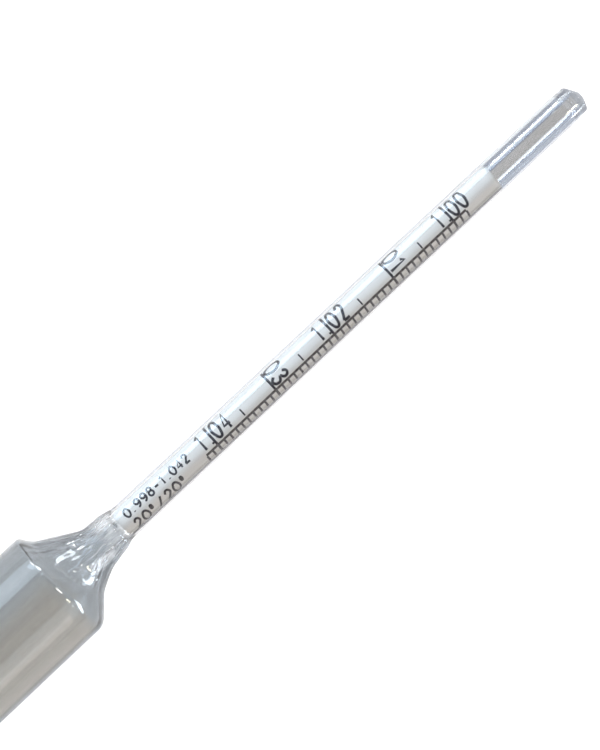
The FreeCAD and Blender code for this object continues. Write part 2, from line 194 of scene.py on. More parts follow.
class Finish:
    """The node tree of one material or of the world."""

    def __init__(self, owner):
        self.owner = owner
        owner.use_nodes = True
        self.tree = owner.node_tree
        self.tree.nodes.clear()

    def add(self, kind, settings=None, inputs=None, output=0):
        """Adds a node: its settings first, then the values or links of its sockets."""
        node = self.tree.nodes.new("ShaderNode" + kind)
        for name, value in (settings or {}).items():
            if name == "stops":
                self.set_stops(node.color_ramp, value)
            else:
                setattr(node, name, value)
        for name, value in (inputs or {}).items():
            if isinstance(value, Signal):
                self.tree.links.new(value.socket, node.inputs[name])
            else:
                node.inputs[name].default_value = value
        return Signal(self, node.outputs[output]) if len(node.outputs) else node

    def set_stops(self, ramp, stops):
        """Sets a ramp's places and grey levels."""
        while len(ramp.elements) < len(stops):
            ramp.elements.new(1.0)
        for element, (place, level) in zip(ramp.elements, stops):
            element.position = place
            element.color = (level, level, level, 1.0)

    def place(self):
        """A point of the piece, in metres."""
        return self.add("TexCoord", output="Object")

    def along(self, axis):
        """One coordinate of that point."""
        return self.add("SeparateXYZ", inputs={0: self.place()}, output=axis)

    def scaled(self, factors):
        """That point, stretched or squeezed along each axis."""
        return self.add("Mapping", inputs={"Vector": self.place(), "Scale": factors})

    def grain(self, scale, factors=(1, 1, 1), detail=3.0, roughness=0.5):
        """Noise of about 0 to 1."""
        values = {
            "Vector": self.scaled(factors),
            "Scale": scale,
            "Detail": detail,
            "Roughness": roughness,
        }
        return self.add("TexNoise", inputs=values)

    def ramp(self, value, first, last):
        """A smooth step from 0 to 1 between two values."""
        values = {"Value": value, "From Min": first, "From Max": last}
        return self.add("MapRange", {"interpolation_type": "SMOOTHSTEP"}, values)

    def line(self, value, middle, reach):
        """A soft line: 1 where the value is at its middle, and 0 beyond its reach."""
        return 1 - self.ramp(abs(value - middle), 0.4 * reach, reach)

    def mix(self, mask, first, second):
        """A colour between two others."""
        values = {0: mask, 6: opaque(first), 7: opaque(second)}
        return self.add("Mix", {"data_type": "RGBA"}, values, output=2)

    def bump(self, height, distance, strength=1.0):
        """A normal bent by a height, in metres times the distance."""
        values = {"Height": height, "Distance": distance, "Strength": strength}
        return self.add("Bump", inputs=values)

    def surface(self, shader):
        """Ends the tree with its output."""
        self.add("OutputMaterial", inputs={"Surface": shader})
        return self.owner


def opaque(value):
    """A colour property as four numbers, or a socket as it is."""
    return value if isinstance(value, Signal) else (*value, 1.0)


def new_material(name):
    return Finish(bpy.data.materials.new(name))


def darker(level):
    """A quarter less of a colour."""
    return [0.76 * part for part in level]


class GlassFinish(Finish):
    """The glass's outer face: clear over the paper, and where the bare bulb, neck and tip show, its faint
    own grey deepened by painted grey, with painted highlights and painted shade lines.
    """

    def __init__(self, owner):
        super().__init__(owner)
        self.tint = colours()
        self.shoulder = GLASS_LOW.x + sizes().bulb_length
        self.x = self.along("X")
        self.side = self.along("Y") * (1 / sizes().stem_radius)
        self.facing = self.add("LayerWeight", inputs={"Blend": 0.5}, output="Facing")
        self.near_side = 1 - self.ramp(self.side, -0.3, 0.3)
        self.cloud = self.grain(140.0, (1, 1, 1), 4.0)

    def bulb(self):
        """Drawn glass: its faint own grey deepened by painted grey, with random streaks and clouds, a
        painted cool sheen on its far side, painted warm shade on its near side, a painted dark shade line
        down its middle and painted dark shade at its near rim.
        """
        tint = self.tint
        # Painted light: the cool neck tint on the far side stands in for a cool sheen, and the warm bulb
        # tint on the near side for warm shade.
        across = self.ramp(self.side, -0.6, 1.8)
        drawn = self.ramp(self.grain(420.0, (0.012, 1, 1), 3.0), 0.42, 0.7)
        plain = self.mix(across, tint.glass_bulb, tint.glass_neck)
        streaky = self.mix(across, darker(tint.glass_bulb), darker(tint.glass_neck))
        bulb = self.mix(self.cloud * 0.4 + drawn * 0.5, plain, streaky)
        # Painted shade: a dark line down the bulb's middle.
        bulb = self.mix(self.line(self.side, 0.0, 0.5) * 0.33, bulb, darker(darker(tint.glass_bulb)))
        # Painted shade: the near rim goes dark at grazing angles.
        rim = self.ramp(self.facing, 0.5, 0.78) * self.near_side * 0.8
        return self.mix(rim, bulb, tint.painted_edge_shade)

    def neck(self):
        """The neck's faint own grey deepened by painted grey, with random clouds."""
        return self.mix(self.cloud * 0.7, self.tint.glass_neck, darker(self.tint.glass_neck))

    def painted_fold_glints(self):
        """Painted highlights: glints along the neck's fine folds, and one painted glint streak on its
        near flank.
        """
        foot = PAPER_LOW.x
        fine = self.ramp(self.grain(1400.0, (0.12, 1, 0), 2.0), 0.38, 0.56)
        pale = self.ramp(self.x, foot - 4.5 * MM, foot - 1.5 * MM)
        pale = pale * (self.ramp(self.side, 0.2, 0.6) | 0.35)
        flank = self.line(self.side, -0.75, 0.35) * self.line(self.x, foot - 5.2 * MM, 3.0 * MM)
        return (pale * fine | flank * 0.8) * 0.95

    def window(self):
        """Clear glass over the paper, greyed by painted shade at grazing angles, with painted dark shade
        lines at its far rim and along the paper's edges.
        """
        tint = self.tint
        window = self.mix(self.ramp(self.facing, 0.6, 0.85), tint.glass_clear, tint.painted_side_tint)
        # Painted shade: dark lines at the far rim and along the paper's edges.
        painted_far_rim_shade = self.ramp(self.facing, 0.48, 0.66) * (1 - self.near_side)
        window = self.mix(painted_far_rim_shade * 0.85, window, tint.painted_shade_lines)
        painted_paper_edge_shade = self.line(self.facing, 0.48, 0.15) * (0.35 + self.near_side * 0.65)
        painted_paper_edge_shade = painted_paper_edge_shade | (self.line(self.facing, 0.40, 0.22) * self.near_side * 0.5)
        return self.mix(painted_paper_edge_shade, window, tint.painted_edge_shade)

    def tube(self):
        """The bare tube: a middle of painted grey over the glass's faint own tint, painted pale bands at
        its sides, and painted dark shade lines along its wall.
        """
        tint = self.tint
        # Painted light and shade: a grey middle, pale side bands, and dark lines along the wall.
        tube = self.mix(self.ramp(abs(self.side), 0.3, 0.4), tint.glass_tube, tint.painted_side_tint)
        painted_wall_shade_lines = self.line(self.side, 0.38, 0.13) | self.line(self.side, -0.55, 0.12)
        tube = self.mix(painted_wall_shade_lines | self.line(self.side, -0.8, 0.12), tube, tint.painted_shade_lines)
        return self.mix(self.line(self.side, 0.71, 0.14), tube, darker(darker(tint.painted_shade_lines)))

    def body(self):
        """The tints of the bulb, neck, window and tube, with their painted light and shade, in their
        order along the axis.
        """
        to_neck = self.ramp(self.x, self.shoulder - 1.5 * MM, self.shoulder + 2 * MM)
        worked = self.mix(to_neck, self.bulb(), self.neck())
        # Painted highlights: the folds' glints lighten the glass towards clear.
        worked = self.mix(self.painted_fold_glints(), worked, self.tint.glass_clear)
        ragged = self.x + (self.grain(600.0, (0.6, 1, 1), 2.0) - 0.5) * (2.4 * MM)
        edge = 0.5 * MM
        to_window = self.ramp(ragged, PAPER_LOW.x - edge, PAPER_LOW.x + edge)
        body = self.mix(to_window, worked, self.window())
        # Painted shade: a dark line across the glass at the paper's foot.
        foot = self.line(self.x, PAPER_LOW.x + 0.2 * MM, 0.6 * MM) * self.ramp(self.facing, 0.4, 0.6)
        body = self.mix(foot, body, self.tint.painted_edge_shade)
        to_tube = self.ramp(self.x, PAPER_HIGH.x - 0.4 * MM, PAPER_HIGH.x)
        return self.mix(to_tube, body, self.tube())

    def waves(self):
        """A normal with ripples from the shoulder to the paper, and faint streaks everywhere."""
        ripples = self.ramp(self.x, self.shoulder + 5 * MM, self.shoulder + 9 * MM)
        ripples = ripples - self.ramp(self.x, PAPER_LOW.x - 1 * MM, PAPER_LOW.x + 0.5 * MM)
        ripples = ripples * self.grain(420.0, (0.45, 1, 1), 2.0)
        streaks = self.grain(700.0, (0.006, 1, 1), 2.0)
        return self.bump(ripples + streaks * 0.004, 1.5 * MM)

    def smoke(self):
        """How much is smoky: the solid cap, the thick neck and the bulb's steep near rim."""
        cap = self.ramp(self.x, GLASS_HIGH.x - 2.4 * MM, GLASS_HIGH.x - 1.6 * MM)
        thick = self.ramp(self.x, self.shoulder + 0.5 * MM, self.shoulder + 3 * MM)
        thick = thick - self.ramp(self.x, PAPER_LOW.x - 1 * MM, PAPER_LOW.x)
        on_bulb = 1 - self.ramp(self.x, self.shoulder, self.shoulder + 2 * MM)
        rim = self.ramp(self.facing, 0.55, 0.8) * self.near_side * on_bulb
        return cap * 0.8 + thick * 0.25 + rim * 0.6


def glass_finish():
    """The outer face's material."""
    finish = GlassFinish(bpy.data.materials.new("blown_glass"))
    smears = finish.ramp(finish.grain(160.0, (0.6, 1, 1), 4.0), 0.55, 0.8)
    solid = polished_glass(finish, finish.body(), 0.01 + smears * 0.03, finish.waves())
    return finish.surface(see_through(finish, solid, finish.smoke()))


def hollow_finish():
    """The glass's inner face: clear and a little rippled."""
    finish = new_material("glass_hollow")
    ripple = finish.grain(500.0, (0.02, 1, 1), 3.0)
    normal = finish.bump(ripple, 0.01 * MM, 0.3)
    solid = polished_glass(finish, opaque(colours().glass_clear), 0.01 + ripple * 0.02, normal)
    return finish.surface(see_through(finish, solid))


def polished_glass(finish, tint, roughness, normal):
    """Glass that mirrors and bends light."""
    values = {
        "Base Color": tint,
        "Roughness": roughness,
        "Transmission Weight": 1.0,
        "IOR": 1.5,
        "Normal": normal,
    }
    return finish.add("BsdfPrincipled", inputs=values)


def see_through(finish, solid, smoke=None):
    """Lets light pass to what lies inside, with a share that is smoky and never bends light."""
    shadow = finish.add("LightPath", output="Is Shadow Ray")
    diffuse = finish.add("LightPath", output="Is Diffuse Ray")
    clear = finish.add("BsdfTransparent", inputs={"Color": opaque(colours().glass_shade)})
    if smoke:
        smoky = finish.add("BsdfTransparent", inputs={"Color": opaque(colours().glass_smoke)})
        solid = finish.add("MixShader", inputs={0: smoke, 1: solid, 2: smoky})
    return finish.add("MixShader", inputs={0: shadow | diffuse, 1: solid, 2: clear})


def paper_finish():
    """Smooth white paper with a faint fibre, a little age, and painted warm shade on its near side."""
    tint = colours()
    finish = new_material("scale_paper_white")
    fibre = finish.grain(5200.0, (0.5, 1, 1), 4.0, 0.6)
    age = finish.ramp(finish.grain(110.0, (1, 1, 1), 3.0), 0.45, 0.8)
    # Painted shade: the near side turns warm grey.
    paper_in_painted_shade = 1 - finish.ramp(finish.along("Y"), -1.8 * MM, 0.2 * MM)
    base = finish.mix(age * 0.25 + fibre * 0.06 + paper_in_painted_shade * 0.5, tint.paper, tint.paper_aged_and_shade)
    values = {
        "Base Color": base,
        "Roughness": 0.62 + fibre * 0.16,
        "Normal": finish.bump(fibre, 0.01 * MM, 0.5),
    }
    return finish.surface(finish.add("BsdfPrincipled", inputs=values))


def ink_finish():
    """Near black ink, thinner in specks, and painted brown shade on its near side."""
    tint = colours()
    finish = new_material("printing_ink")
    specks = finish.ramp(finish.grain(2600.0, (1, 1, 1), 3.0), 0.52, 0.75)
    # Painted shade: the ink on the near side turns brown.
    in_painted_shade = 1 - finish.ramp(finish.along("Y"), -1.8 * MM, 0.6 * MM)
    base = finish.mix(specks * 0.4 + in_painted_shade * 0.6, tint.ink, tint.ink_thin_and_shade)
    values = {"Base Color": base, "Roughness": 0.6 + specks * 0.2, "Specular IOR Level": 0.15}
    return finish.surface(finish.add("BsdfPrincipled", inputs=values))


def steel_finish():
    """Dull steel shot."""
    tint = colours()
    finish = new_material("steel_shot")
    patches = finish.ramp(finish.grain(700.0, (1, 1, 1), 4.0), 0.4, 0.7)
    base = finish.mix(patches, tint.steel, tint.steel_dull)
    scuffs = finish.grain(4000.0, (1, 1, 1), 3.0)
    values = {
        "Base Color": base,
        "Metallic": 1.0,
        "Roughness": 0.24 + patches * 0.2,
        "Normal": finish.bump(scuffs, 0.01 * MM, 0.5),
    }
    return finish.surface(finish.add("BsdfPrincipled", inputs=values))


def wax_finish():
    """Yellow brown sealing wax, with a paler bloom."""
    tint = colours()
    finish = new_material("sealing_wax")
    bloom = finish.ramp(finish.grain(420.0, (1, 1, 1), 4.0), 0.4, 0.75)
    base = finish.mix(bloom * 0.7, tint.wax, tint.wax_pale)
    ripples = finish.grain(700.0, (1, 1, 1), 3.0)
    values = {
        "Base Color": base,
        "Roughness": 0.34 + bloom * 0.18,
        "Normal": finish.bump(ripples, 0.1 * MM, 0.6),
    }
    return finish.surface(finish.add("BsdfPrincipled", inputs=values))


def new_piece(name, bm, material, slot, *nodes):
    """Puts a finished mesh into the scene as a piece that rides on the object's body."""
    mesh = bpy.data.meshes.new(name)
    for face in bm.faces:
        face.smooth = True
    bm.to_mesh(mesh)
    bm.free()
    piece = bpy.data.objects.new(name, mesh)
    bpy.context.scene.collection.objects.link(piece)
    mesh.materials.append(material)
    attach(piece, BODY)
    if nodes:
        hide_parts(*nodes)
    return piece


class Corner:
    """A corner of an outline: its place along the axis, its radius, and how it is rounded."""

    def __init__(self, along, radius, rounding=0.0, segments=6, pieces=1):
        self.at = Vector((along, radius))
        self.rounding = rounding
        self.segments = segments
        self.pieces = pieces


def inside_corners(corners, walls):
    """The corners of an outline that runs a wall's thickness inside another."""
    inner = []
    for before, corner, after, wall in zip(corners, corners[1:], corners[2:], walls):
        first = (corner.at - before.at).normalized()
        second = (after.at - corner.at).normalized()
        inward = [Vector((way.y, -way.x)) for way in (first, second)]
        middle = (inward[0] + inward[1]).normalized()
        at = corner.at + middle * wall / middle.dot(inward[0])
        opens = first.x * second.y - first.y * second.x > 0
        rounding = corner.rounding + wall if opens else max(corner.rounding - wall, 0.3 * MM)
        inner.append(Corner(*at, rounding, corner.segments, corner.pieces))
    return inner


def outline(corners):
    """The points of an outline with rounded corners and evenly cut straight runs, in order."""
    bm = bmesh.new()
    points = [bm.verts.new((corner.at.x, corner.at.y, 0)) for corner in corners]
    for first, second in zip(points, points[1:]):
        bm.edges.new((first, second))
    for point, before, corner, after in zip(points[1:], corners, corners[1:], corners[2:]):
        turn = (corner.at - before.at).angle(after.at - corner.at)
        bmesh.ops.bevel(
            bm,
            geom=[point],
            offset=corner.rounding * math.tan(turn / 2),
            offset_type="OFFSET",
            segments=corner.segments,
            profile=0.5,
            affect="VERTICES",
            material=-1,
        )
    places = walk(bm, corners[0].at)
    bm.free()
    cut = [places[0]]
    step = 0
    for corner, following in zip(corners, corners[1:]):
        start, end = places[step], places[step + 1]
        cut += [start.lerp(end, (n + 1) / corner.pieces) for n in range(corner.pieces)]
        last = step + 1 + (following.segments if following is not corners[-1] else 0)
        cut += places[step + 2 : last + 1]
        step = last
    return cut


def walk(bm, start):
    """The points of an open line of edges, in order from its start."""
    vert = min(bm.verts, key=lambda v: (Vector((v.co.x, v.co.y)) - start).length)
    places = []
    edge = None
    while vert is not None:
        places.append(Vector((vert.co.x, vert.co.y)))
        onward = [e for e in vert.link_edges if e is not edge]
        edge = onward[0] if onward else None
        vert = edge.other_vert(vert) if edge else None
    return places


def turned_shell(far_side, near_side, wander, hollow=False):
    """Turns an outline round the axis, blending from its far side's form to its near side's."""
    bm = bmesh.new()
    station = bm.verts.layers.int.new("station")
    ring = [bm.verts.new((place.x, 0, place.y)) for place in far_side]
    for number, vert in enumerate(ring):
        vert[station] = number
    edges = [bm.edges.new(pair) for pair in zip(ring, ring[1:])]
    bmesh.ops.spin(
        bm,
        geom=ring + edges,
        cent=(0, 0, 0),
        axis=(1, 0, 0),
        angle=math.tau,
        steps=sizes().steps,
        use_merge=True,
    )
    bmesh.ops.remove_doubles(bm, verts=bm.verts, dist=1e-7)
    for vert in bm.verts:
        far, near = far_side[vert[station]], near_side[vert[station]]
        across = Vector((0, vert.co.y, vert.co.z))
        if across.length < 1e-7:
            vert.co = Vector((far.x, 0, 0)) + AXIS
            continue
        across.normalize()
        nearness = (1 - across.y) / 2
        place = far.lerp(near, nearness)
        radius = place.y + wander(place.x, across)
        vert.co = Vector((place.x, 0, 0)) + across * radius + AXIS
    bmesh.ops.recalc_face_normals(bm, faces=bm.faces)
    if hollow:
        bmesh.ops.reverse_faces(bm, faces=bm.faces)
    return bm


def worked_glass(amount, seed, ridges, last):
    """How far hand-worked glass strays round the shoulder and neck, as a function of place."""
    first = GLASS_LOW.x + sizes().bulb_length - 2.0 * MM

    def wander(along, across):
        share = (along - first) / (last - first)
        if not 0.0 < share < 1.0:
            return 0.0
        fade = min(1.0, 4 * share, 8 * (1 - share)) * (0.35 + 0.65 * share)
        place = Vector((along * 220 / ridges, across.y * 2.6 * ridges, across.z * 2.6 * ridges))
        broad = noise.noise(place + Vector((seed, 0, 0)))
        fine = noise.noise(place * 2.7 + Vector((0, seed, 0)))
        return amount * fade * (broad + 0.5 * fine)

    return wander


def make_glass():
    """The blown glass: outside and sealed hollow, with a shoulder that leans a little."""
    s = sizes()
    bottom, top = GLASS_LOW.x, GLASS_HIGH.x
    shoulder = bottom + s.bulb_length
    inside_the_box = 0.01 * MM
    bulb, stem = s.bulb_radius - inside_the_box, s.stem_radius
    round_share = 0.998

    def round_bottom(place, radius):
        """The axis and the corner of a bottom that is nearly half a ball."""
        return [Corner(place, 0), Corner(place, radius, radius * round_share, 24, 64)]

    far_shoulder = [
        Corner(shoulder + 0.42 * MM, bulb, 0.7 * MM, 10),
        Corner(shoulder + 1.84 * MM, 7.42 * MM, 3.0 * MM, 10, 10),
        Corner(shoulder + 8.4 * MM, 3.54 * MM, 3.0 * MM, 10, 4),
        Corner(shoulder + 11.8 * MM, 3.26 * MM, 5.0 * MM, 6, 4),
        Corner(shoulder + 14.4 * MM, stem, 8.0 * MM, 6, 64),
    ]
    near_shoulder = [
        Corner(shoulder + 1.04 * MM, bulb, 2.6 * MM, 10),
        Corner(shoulder + 4.8 * MM, 5.56 * MM, 3.0 * MM, 10, 10),
        Corner(shoulder + 8.3 * MM, 3.84 * MM, 6.0 * MM, 10, 4),
        Corner(shoulder + 11.05 * MM, 3.29 * MM, 5.0 * MM, 6, 4),
        Corner(shoulder + 13.6 * MM, stem, 8.0 * MM, 6, 64),
    ]
    far_tip = [
        Corner(top - 4.2 * MM, stem, 3.0 * MM, 3, 3),
        Corner(top - 1.45 * MM, 2.66 * MM, 0.3 * MM, 4, 3),
        Corner(top - 0.02 * MM, 0.55 * MM, 0.4 * MM, 5),
        Corner(top - 0.05 * MM, 0),
    ]
    near_tip = [
        Corner(top - 4.2 * MM, stem, 3.0 * MM, 3, 3),
        Corner(top - 0.8 * MM, 2.6 * MM, 0.3 * MM, 4, 3),
        Corner(top - 0.25 * MM, 1.5 * MM, 0.4 * MM, 5),
        Corner(top - 0.05 * MM, 0),
    ]
    far = [*round_bottom(bottom, bulb), *far_shoulder, *far_tip]
    near = [*round_bottom(bottom, bulb), *near_shoulder, *near_tip]
    worked = worked_glass(s.unevenness, 0.0, 1.0, PAPER_LOW.x + 1.5 * MM)
    outer = turned_shell(outline(far), outline(near), worked)

    neck_wall = 0.85 * MM
    walls = [s.bulb_wall, s.bulb_wall, neck_wall, s.collar_wall, s.collar_wall, s.stem_wall]
    bore = stem - s.stem_wall
    bore_end = [
        Corner(top - s.tip_wall, bore, 1.7 * MM, 10, 3),
        Corner(top - s.tip_wall, 0),
    ]

    def hollow(corners):
        """The outline of the hollow inside an outer one."""
        shoulder_corners = inside_corners(corners, walls)[1:]
        hollow_bottom = round_bottom(bottom + s.bottom_wall, bulb - s.bulb_wall)
        return outline([*hollow_bottom, *shoulder_corners, *bore_end])

    folded = worked_glass(s.folds, 40.0, 1.1, PAPER_LOW.x - 0.2 * MM)
    inner = turned_shell(hollow(far), hollow(near), folded, hollow=True)
    for face in inner.faces:
        face.material_index = 1
    lining = bpy.data.meshes.new("lining")
    inner.to_mesh(lining)
    inner.free()
    outer.from_mesh(lining)
    bpy.data.meshes.remove(lining)
    piece = new_piece("blown_glass_body", outer, glass_finish(), "clear_glass", "glass_body")
    piece.data.materials.append(hollow_finish())


def paper_face(angle):
    """The radius of the roll's outer face at an angle from the underside, past +Y."""
    s = sizes()
    outside = max((PAPER_HIGH.y - PAPER_LOW.y) / 2, PRINT_RADIUS)
    step = s.paper_thickness + s.turn_gap
    if angle <= math.pi:
        return outside
    if angle >= math.tau:
        return outside - step
    middle = outside - step / 2
    sideways = step / 2 * math.sin(angle)
    return -step / 2 * math.cos(angle) + math.sqrt(middle**2 - sideways**2)


def round_the_roll(along, angle, lift=0.0):
    """A point on the roll's outer face, or that far above it."""
    radius = paper_face(angle) + lift
    return Vector((along, radius * math.sin(angle), -radius * math.cos(angle))) + AXIS


def make_paper():
    """The scale paper: a flat strip rolled up so that its ends overlap on the underside."""
    s = sizes()
    overlap = math.radians(s.paper_overlap)
    around, lengthwise = 150, 60
    trim, skew = 0.1 * MM, 0.09 * MM
    bm = bmesh.new()
    bmesh.ops.create_grid(bm, x_segments=lengthwise, y_segments=around, size=0.5)
    span = PAPER_HIGH.x - PAPER_LOW.x
    for vert in bm.verts:
        angle = (vert.co.y + 0.5) * (math.tau + overlap)
        share = vert.co.x + 0.5
        slant = skew * math.sin(angle - 0.4)
        along = PAPER_LOW.x + trim + share * (span - 2 * trim) + slant * (2 * share - 1)
        vert.co = round_the_roll(along, angle)
    bmesh.ops.recalc_face_normals(bm, faces=bm.faces)
    middle = bm.faces[:][len(bm.faces) // 2]
    outward = middle.calc_center_median() - AXIS
    outward.x = 0
    if middle.normal.dot(outward) < 0:
        bmesh.ops.reverse_faces(bm, faces=bm.faces)
    bmesh.ops.solidify(bm, geom=bm.faces[:], thickness=s.paper_thickness)
    new_piece("rolled_scale_paper", bm, paper_finish(), "scale_paper", "scale_paper")


SMOOTH, STRAIGHT = "AUTO", "VECTOR"
GLYPHS = {
    "0": [(SMOOTH, True, [(0.5, 0), (1, 0.28), (1, 0.72), (0.5, 1), (0, 0.72), (0, 0.28)])],
    "1": [(STRAIGHT, False, [(0.1, 0.8), (0.55, 1), (0.55, 0)])],
    "2": [
        (SMOOTH, False, [(0.02, 0.76), (0.48, 1), (0.95, 0.76), (0.6, 0.4), (0.02, 0.02)]),
        (STRAIGHT, False, [(0, 0), (1, 0)]),
    ],
    "3": [
        (SMOOTH, False, [(0.05, 0.82), (0.5, 1), (0.92, 0.78), (0.42, 0.55)]),
        (SMOOTH, False, [(0.42, 0.55), (1, 0.28), (0.5, 0), (0, 0.2)]),
    ],
    "4": [(STRAIGHT, False, [(0.75, 0), (0.75, 1), (0, 0.28), (1.05, 0.28)])],
    "8": [
        (SMOOTH, True, [(0.5, 0.54), (0.95, 0.78), (0.5, 1), (0.05, 0.78)]),
        (SMOOTH, True, [(0.5, 0.54), (1, 0.26), (0.5, 0), (0, 0.26)]),
    ],
    "9": [
        (SMOOTH, True, [(0.5, 0.42), (1, 0.72), (0.5, 1), (0, 0.72)]),
        (SMOOTH, False, [(1, 0.72), (0.92, 0.28), (0.3, 0)]),
    ],
    ".": [(STRAIGHT, False, [(0.5, -0.02), (0.5, 0.09)])],
    "-": [(STRAIGHT, False, [(0.1, 0.45), (0.9, 0.45)])],
    "/": [(STRAIGHT, False, [(0, 0), (0.9, 1)])],
    "°": [(SMOOTH, True, [(0.3, 0.66), (0.55, 0.82), (0.3, 1), (0.05, 0.82)])],
}
NARROW = {".": 0.45, "1": 0.85, "°": 0.6}


class Lettering:
    """Digits drawn with a pen of one width, flat, before they are laid round the paper."""

    def __init__(self, stroke):
        self.pen = bpy.data.curves.new("pen", "CURVE")
        tip = self.pen.splines.new("POLY")
        tip.points.add(1)
        tip.points[0].co = (-stroke / 2, 0, 0, 1)
        tip.points[1].co = (stroke / 2, 0, 0, 1)
        self.nib = bpy.data.objects.new("nib", self.pen)
        self.curve = bpy.data.curves.new("lettering", "CURVE")
        self.curve.dimensions = "3D"
        self.curve.twist_mode = "Z_UP"
        self.curve.bevel_mode = "OBJECT"
        self.curve.bevel_object = self.nib
        self.curve.resolution_u = 7

    def write(self, text, corner, width, height, gap, upright=True):
        """Writes a row of digits from its lower left corner, along the stem or across it."""
        onward = Vector((1, 0, 0)) if upright else Vector((0, -1, 0))
        upward = Vector((0, 1, 0)) if upright else Vector((1, 0, 0))
        pen = Vector((*corner, 0))
        for letter in text:
            share = NARROW.get(letter, 1.0)
            for handle, closed, points in GLYPHS[letter]:
                places = [pen + onward * x * width * share + upward * y * height for x, y in points]
                self.draw(handle, closed, places)
            pen = pen + onward * (width * share + gap)

    def draw(self, handle, closed, places):
        """Adds one stroke of the pen."""
        spline = self.curve.splines.new("BEZIER")
        spline.bezier_points.add(len(places) - 1)
        spline.use_cyclic_u = closed
        for point, place in zip(spline.bezier_points, places):
            point.co = place
            point.handle_left_type = handle
            point.handle_right_type = handle

    def add_to(self, bm):
        """Adds the strokes' flat ribbons to a mesh."""
        drawn = bpy.data.objects.new("lettering", self.curve)
        bpy.context.scene.collection.objects.link(drawn)
        bpy.context.view_layer.update()
        evaluated = drawn.evaluated_get(bpy.context.evaluated_depsgraph_get())
        mesh = bpy.data.meshes.new_from_object(evaluated)
        bm.from_mesh(mesh)
        bpy.data.meshes.remove(mesh)
        bpy.data.objects.remove(drawn)
        bpy.data.objects.remove(self.nib)
        bpy.data.curves.remove(self.curve)
        bpy.data.curves.remove(self.pen)


def flat_line(bm, left, right, low, high):
    """A flat rectangle of ink."""
    middle = Matrix.Translation(((left + right) / 2, (low + high) / 2, 0))
    shape = Matrix.Diagonal((right - left, high - low, 1, 1))
    bmesh.ops.create_grid(bm, x_segments=1, y_segments=1, size=0.5, matrix=middle @ shape)


def reading_place(density):
    """Where the liquid's surface crosses the stem at that density."""
    s = sizes()
    mass = frame["record"]["physics"]["mass_kg"]
    sinking = mass / (WATER_DENSITY * math.pi * s.stem_radius**2)
    return GLASS_LOW.x + s.bulb_length + s.unit_line - sinking * (1 - 1 / density)


# Densities in thousandths, then places round the roll: degrees from the top to the near side
LIGHTEST, HEAVIEST = 998, 1042
SPINE_AT_FOOT, SPINE_AT_HEAD = 31, 24
COMB_END, NUMBERED_LINE_END = 125, -84
HALF_LINE_LOW, HALF_LINE_HIGH = 19, -12
UPRIGHT_FOOT, TURNED_FOOT = 21, -62
RANGE_FOOT, TEMPERATURE_FOOT = 0, 65


def level_at(degrees):
    """How high a place round the roll lies in the flat print."""
    return -math.radians(degrees) * PRINT_RADIUS


def spine_ends():
    """Where the long line begins and ends along the stem."""
    return reading_place(HEAVIEST / 1000), reading_place(LIGHTEST / 1000)


def spine_level(along):
    """How high the long line lies at a place, since the roll twists it a little."""
    first, last = spine_ends()
    share = (along - first) / (last - first)
    return level_at(SPINE_AT_FOOT + (SPINE_AT_HEAD - SPINE_AT_FOOT) * share)


def draw_lines(bm):
    """The long line, and a division for each thousandth."""
    s = sizes()
    first, last = spine_ends()
    half, half_line = s.spine_width / 2, 0.26 * MM
    pieces = 44
    stretch = (last - first) / pieces
    for number in range(pieces):
        left = first + number * stretch
        level = spine_level(left + stretch / 2)
        flat_line(bm, left, left + stretch, level - half, level + half)
    for number in range(LIGHTEST, HEAVIEST + 1):
        along = reading_place(number / 1000)
        level = spine_level(along)
        major = number % 10 == 0
        width = s.major_width if major else s.tick_width
        flat_line(bm, along - width / 2, along + width / 2, level_at(COMB_END), level - half)
        if major:
            flat_line(bm, along - width / 2, along + width / 2, level + half, level_at(NUMBERED_LINE_END))
        elif number % 5 == 0:
            left, right = along - half_line / 2, along + half_line / 2
            flat_line(bm, left, right, level_at(HALF_LINE_LOW), level_at(HALF_LINE_HIGH))


def draw_numbers(bm):
    """The scale's numbers, on both sides of an even line and turned after an odd one."""
    s = sizes()
    digits = Lettering(s.digit_stroke)
    width, turned_width = s.digit_width, 1.18 * MM
    height = s.digit_height - s.digit_stroke
    foot = level_at(UPRIGHT_FOOT) + s.digit_stroke / 2
    gap = s.digit_stroke + 0.36 * MM
    before, after, turned_after = 2.3 * MM, 0.72 * MM, 0.4 * MM
    for number in (1000, 1020, 1040):
        along = reading_place(number / 1000)
        text = f"{number / 1000:.2f}"
        digits.write(text[:2], (along - before, foot), width, height, gap)
        digits.write(text[2:], (along + after, foot), width, height, gap)
    for number in (1010, 1030):
        corner = (reading_place(number / 1000) + turned_after, level_at(TURNED_FOOT))
        text = f"{number / 1000:.2f}"[2:]
        digits.write(text, corner, turned_width, height, gap, upright=False)
    digits.add_to(bm)


def draw_notes(bm):
    """Two rows of plain numbers at the scale's foot: its range and a pair of temperatures."""
    s = sizes()
    width, gap = 0.8 * MM, 0.52 * MM
    bold, wide, loose = 1.15, 1.3, 1.25
    start = PAPER_LOW.x + 1.9 * MM
    span = f"{LIGHTEST / 1000:.3f}-{HEAVIEST / 1000:.3f}"
    notes = Lettering(s.note_stroke)
    notes.write(span, (start, level_at(RANGE_FOOT)), width, s.note_height, gap)
    notes.add_to(bm)
    notes = Lettering(bold * s.note_stroke)
    corner = (start + 0.2 * MM, level_at(TEMPERATURE_FOOT))
    notes.write("20°/20°", corner, width * wide, 1.8 * MM, gap * loose)
    notes.add_to(bm)


